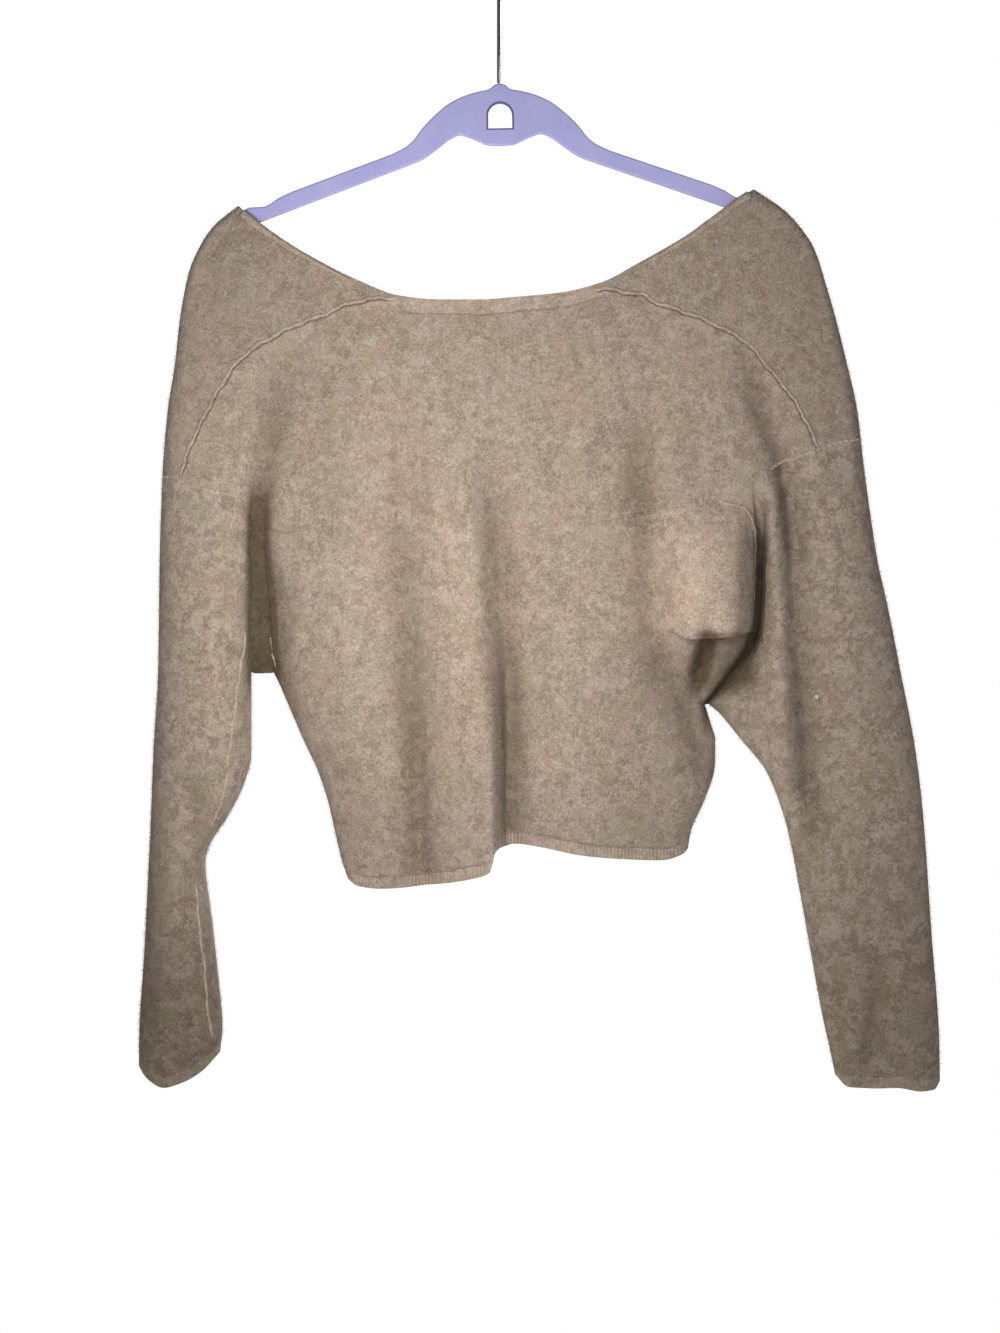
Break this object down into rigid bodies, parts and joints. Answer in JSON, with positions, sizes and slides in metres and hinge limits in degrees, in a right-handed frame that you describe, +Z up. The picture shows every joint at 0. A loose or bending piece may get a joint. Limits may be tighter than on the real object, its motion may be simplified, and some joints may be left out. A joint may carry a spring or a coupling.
{
  "type": "cropped knit sweater on a hanger",
  "caption": "Cropped felted knit sweater with a very wide neckline, curved saddle yokes and long sleeves, hanging on a slim velvet hanger.",
  "frame": {"origin": "underside of the hook's crown, in the middle of the wire, where a rail touches it", "axes": "+Z up; +X towards the sweater's right in the picture, along the hanger; the sweater's back faces -Y"},
  "size_m": [0.5925, 0.091, 0.8416],
  "materials": {
    "felt": "heathered felted wool knit",
    "rib": "fine rib edge in the same wool",
    "velvet": "flocked velvet",
    "hook_wire": "polished"
  },
  "bodies": {
    "root": {"back_panel": "felt", "front_panel": "felt", "yoke_left": "felt", "yoke_right": "felt", "sleeve_left": "felt", "sleeve_right": "felt", "neck_band_back": "rib", "neck_band_front": "rib", "hem_band": "rib", "cuff_left": "rib", "cuff_right": "rib", "hanger_body": "velvet", "hanger_hook": "hook_wire"}
  },
  "joints": []
}
